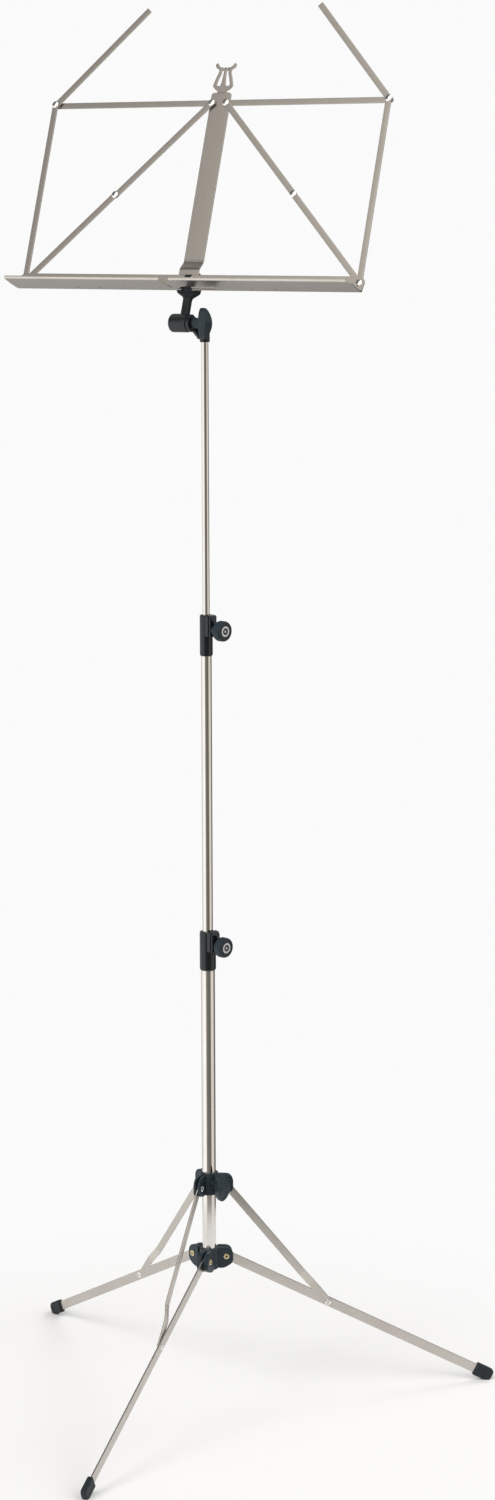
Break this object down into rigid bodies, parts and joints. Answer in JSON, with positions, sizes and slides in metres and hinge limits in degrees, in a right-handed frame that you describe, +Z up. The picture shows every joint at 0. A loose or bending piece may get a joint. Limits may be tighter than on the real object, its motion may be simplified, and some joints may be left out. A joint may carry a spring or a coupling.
{
  "type": "music stand",
  "caption": "Folding music stand: tripod base with sliding spider, telescoping pole with clamp knobs, tilting wire-frame desk with lyre plate, ledges and page arms.",
  "frame": {"origin": "on the floor, on the axis of the pole", "axes": "+Z up the pole; -Y towards the reader; +X to the reader's right"},
  "size_m": [0.6579, 0.5958, 1.7903],
  "materials": {
    "nickel_steel": "satin nickel plate",
    "tube_steel": "polished nickel plate",
    "bright_rivets": "bright",
    "black_plastic": "fine satin",
    "brass_parts": "dull",
    "badge_metal": "brushed",
    "rubber_feet": "matte"
  },
  "bodies": {
    "base": {"lower_tube": "tube_steel", "base_hub": "black_plastic", "hub_eyelets": "brass_parts", "lower_clamp": "black_plastic", "lower_clamp_nut": "brass_parts"},
    "lower_knob": {"lower_knob": "black_plastic", "lower_knob_badge": "badge_metal", "lower_knob_screw": "bright_rivets"},
    "spider": {"spider": "black_plastic", "spider_eyelets": "bright_rivets"},
    "spider_knob": {"spider_knob": "black_plastic", "spider_knob_screw": "bright_rivets"},
    "middle_slider": {"middle_bush": "black_plastic"},
    "middle": {"middle_tube": "tube_steel", "upper_clamp": "black_plastic", "upper_clamp_nut": "brass_parts"},
    "upper_knob": {"upper_knob": "black_plastic", "upper_knob_badge": "badge_metal", "upper_knob_screw": "bright_rivets"},
    "rod_slider": {"rod_bush": "black_plastic"},
    "rod": {"top_rod": "tube_steel", "tilt_fitting": "black_plastic"},
    "desk": {"desk_holder": "black_plastic", "centre_plate": "nickel_steel", "bottom_rivets": "bright_rivets", "top_rivets": "bright_rivets", "tilt_nut": "brass_parts"},
    "tilt_knob": {"tilt_knob": "black_plastic", "tilt_screw": "bright_rivets"},
    "leg_1": {"leg_1": "nickel_steel", "foot_1": "rubber_feet", "leg_rivet_1": "bright_rivets"},
    "strut_1": {"strut_1": "nickel_steel"},
    "leg_2": {"leg_2": "nickel_steel", "foot_2": "rubber_feet", "leg_rivet_2": "bright_rivets"},
    "strut_2": {"strut_2": "nickel_steel"},
    "leg_3": {"leg_3": "nickel_steel", "foot_3": "rubber_feet", "leg_rivet_3": "bright_rivets"},
    "strut_3": {"strut_3": "nickel_steel"},
    "ledge_left": {"ledge_left": "nickel_steel", "ledge_left_rivet": "bright_rivets"},
    "side_bar_left": {"side_bar_left": "nickel_steel"},
    "top_bar_left": {"top_bar_left": "nickel_steel", "corner_rivet_left": "bright_rivets"},
    "brace_upper_left": {"brace_upper_left": "nickel_steel", "brace_left_rivet": "bright_rivets"},
    "brace_lower_left": {"brace_lower_left": "nickel_steel"},
    "page_arm_left": {"page_arm_left": "nickel_steel"},
    "ledge_right": {"ledge_right": "nickel_steel", "ledge_right_rivet": "bright_rivets"},
    "side_bar_right": {"side_bar_right": "nickel_steel"},
    "top_bar_right": {"top_bar_right": "nickel_steel", "corner_rivet_right": "bright_rivets"},
    "brace_upper_right": {"brace_upper_right": "nickel_steel", "brace_right_rivet": "bright_rivets"},
    "brace_lower_right": {"brace_lower_right": "nickel_steel"},
    "page_arm_right": {"page_arm_right": "nickel_steel"}
  },
  "joints": [
    {"name": "middle_slide", "type": "slide", "parent": "base", "child": "middle_slider", "axis": [0, 0, 1], "range_m": [-0.35, 0.04]},
    {"name": "middle_swivel", "type": "hinge", "parent": "middle_slider", "child": "middle", "pos_m": [0, 0, 1], "axis": [0, 0, 1], "continuous": true},
    {"name": "rod_slide", "type": "slide", "parent": "middle", "child": "rod_slider", "axis": [0, 0, 1], "range_m": [-0.335, 0.08]},
    {"name": "rod_swivel", "type": "hinge", "parent": "rod_slider", "child": "rod", "pos_m": [0, 0, 1.2], "axis": [0, 0, 1], "continuous": true},
    {"name": "desk_tilt", "type": "hinge", "parent": "rod", "child": "desk", "pos_m": [0, -0.023, 1.4], "axis": [-1, 0, 0], "range_deg": [-20, 65]},
    {"name": "lower_knob_turn", "type": "hinge", "parent": "base", "child": "lower_knob", "pos_m": [0.02773, -0.00848, 0.6076], "axis": [0.9563, -0.2924, 0], "range_deg": [0, 360]},
    {"name": "upper_knob_turn", "type": "hinge", "parent": "middle", "child": "upper_knob", "pos_m": [0.02773, -0.00848, 1.016], "axis": [0.9563, -0.2924, 0], "range_deg": [0, 360]},
    {"name": "spider_knob_turn", "type": "hinge", "parent": "spider", "child": "spider_knob", "pos_m": [0.02607, -0.01271, 0.289], "axis": [0.8988, -0.4384, 0], "range_deg": [0, 360]},
    {"name": "tilt_knob_turn", "type": "hinge", "parent": "desk", "child": "tilt_knob", "pos_m": [0.013, -0.023, 1.4], "axis": [1, 0, 0], "range_deg": [0, 360]},
    {"name": "leg_1_fold", "type": "hinge", "parent": "base", "child": "leg_1", "pos_m": [0.01824, 0.0123, 0.188], "axis": [0.5592, -0.829, 0], "range_deg": [0, 114]},
    {"name": "strut_1_pivot", "type": "hinge", "parent": "leg_1", "child": "strut_1", "pos_m": [0.1302, 0.08782, 0.11824], "axis": [0.5592, -0.829, 0], "range_deg": [-150.5, 0]},
    {"name": "leg_2_fold", "type": "hinge", "parent": "base", "child": "leg_2", "pos_m": [-0.01977, 0.00964, 0.188], "axis": [0.4384, 0.8988, 0], "range_deg": [0, 114]},
    {"name": "strut_2_pivot", "type": "hinge", "parent": "leg_2", "child": "strut_2", "pos_m": [-0.14115, 0.06885, 0.11824], "axis": [0.4384, 0.8988, 0], "range_deg": [-150.5, 0]},
    {"name": "leg_3_fold", "type": "hinge", "parent": "base", "child": "leg_3", "pos_m": [0.00153, -0.02195, 0.188], "axis": [-0.9976, -0.0698, 0], "range_deg": [0, 114]},
    {"name": "strut_3_pivot", "type": "hinge", "parent": "leg_3", "child": "strut_3", "pos_m": [0.01095, -0.15667, 0.11824], "axis": [-0.9976, -0.0698, 0], "range_deg": [-150.5, 0]},
    {"name": "spider_slide", "type": "slide", "parent": "base", "child": "spider", "axis": [0, 0, 1], "range_m": [0, 0.26913]},
    {"name": "ledge_left_fold", "type": "hinge", "parent": "desk", "child": "ledge_left", "pos_m": [-0.027, -0.01342, 1.45057], "axis": [0, 0.9397, -0.342], "range_deg": [0, 90]},
    {"name": "side_bar_left_pivot", "type": "hinge", "parent": "ledge_left", "child": "side_bar_left", "pos_m": [-0.253, -0.01342, 1.45057], "axis": [0, 0.9397, -0.342], "range_deg": [-90, 0]},
    {"name": "top_bar_left_pivot", "type": "hinge", "parent": "desk", "child": "top_bar_left", "pos_m": [-0.027, 0.06695, 1.6714], "axis": [0, 0.9397, -0.342], "range_deg": [0, 90]},
    {"name": "brace_upper_left_pivot", "type": "hinge", "parent": "desk", "child": "brace_upper_left", "pos_m": [-0.027, 0.06695, 1.6714], "axis": [0, 0.9397, -0.342], "range_deg": [-43.89, 0]},
    {"name": "brace_lower_left_pivot", "type": "hinge", "parent": "brace_upper_left", "child": "brace_lower_left", "pos_m": [-0.14312, 0.02565, 1.55794], "axis": [0, 0.9397, -0.342], "range_deg": [0, 180.01]},
    {"name": "page_arm_left_swing", "type": "hinge", "parent": "top_bar_left", "child": "page_arm_left", "pos_m": [-0.253, 0.06695, 1.6714], "axis": [0, 0.9397, -0.342], "range_deg": [-100, 47.5]},
    {"name": "ledge_right_fold", "type": "hinge", "parent": "desk", "child": "ledge_right", "pos_m": [-0.007, -0.01342, 1.45057], "axis": [0, -0.9397, 0.342], "range_deg": [0, 90]},
    {"name": "side_bar_right_pivot", "type": "hinge", "parent": "ledge_right", "child": "side_bar_right", "pos_m": [0.219, -0.01342, 1.45057], "axis": [0, -0.9397, 0.342], "range_deg": [-90, 0]},
    {"name": "top_bar_right_pivot", "type": "hinge", "parent": "desk", "child": "top_bar_right", "pos_m": [-0.007, 0.06695, 1.6714], "axis": [0, -0.9397, 0.342], "range_deg": [0, 90]},
    {"name": "brace_upper_right_pivot", "type": "hinge", "parent": "desk", "child": "brace_upper_right", "pos_m": [-0.007, 0.06695, 1.6714], "axis": [0, -0.9397, 0.342], "range_deg": [-43.89, 0]},
    {"name": "brace_lower_right_pivot", "type": "hinge", "parent": "brace_upper_right", "child": "brace_lower_right", "pos_m": [0.10912, 0.02565, 1.55794], "axis": [0, -0.9397, 0.342], "range_deg": [0, 180.01]},
    {"name": "page_arm_right_swing", "type": "hinge", "parent": "top_bar_right", "child": "page_arm_right", "pos_m": [0.219, 0.06695, 1.6714], "axis": [0, -0.9397, 0.342], "range_deg": [-100, 47.5]}
  ],
  "couplings": [
    {"joint": "strut_1_pivot", "follows": "leg_1_fold", "ratio": -1.3201},
    {"joint": "leg_2_fold", "follows": "leg_1_fold", "ratio": 1},
    {"joint": "strut_2_pivot", "follows": "leg_1_fold", "ratio": -1.3201},
    {"joint": "leg_3_fold", "follows": "leg_1_fold", "ratio": 1},
    {"joint": "strut_3_pivot", "follows": "leg_1_fold", "ratio": -1.3201},
    {"joint": "spider_slide", "follows": "leg_1_fold", "m_per_rad": 0.13516},
    {"joint": "side_bar_left_pivot", "follows": "ledge_left_fold", "ratio": -1},
    {"joint": "top_bar_left_pivot", "follows": "ledge_left_fold", "ratio": 1},
    {"joint": "brace_upper_left_pivot", "follows": "ledge_left_fold", "ratio": -0.48757},
    {"joint": "brace_lower_left_pivot", "follows": "ledge_left_fold", "ratio": 2},
    {"joint": "side_bar_right_pivot", "follows": "ledge_right_fold", "ratio": -1},
    {"joint": "top_bar_right_pivot", "follows": "ledge_right_fold", "ratio": 1},
    {"joint": "brace_upper_right_pivot", "follows": "ledge_right_fold", "ratio": -0.48757},
    {"joint": "brace_lower_right_pivot", "follows": "ledge_right_fold", "ratio": 2}
  ]
}
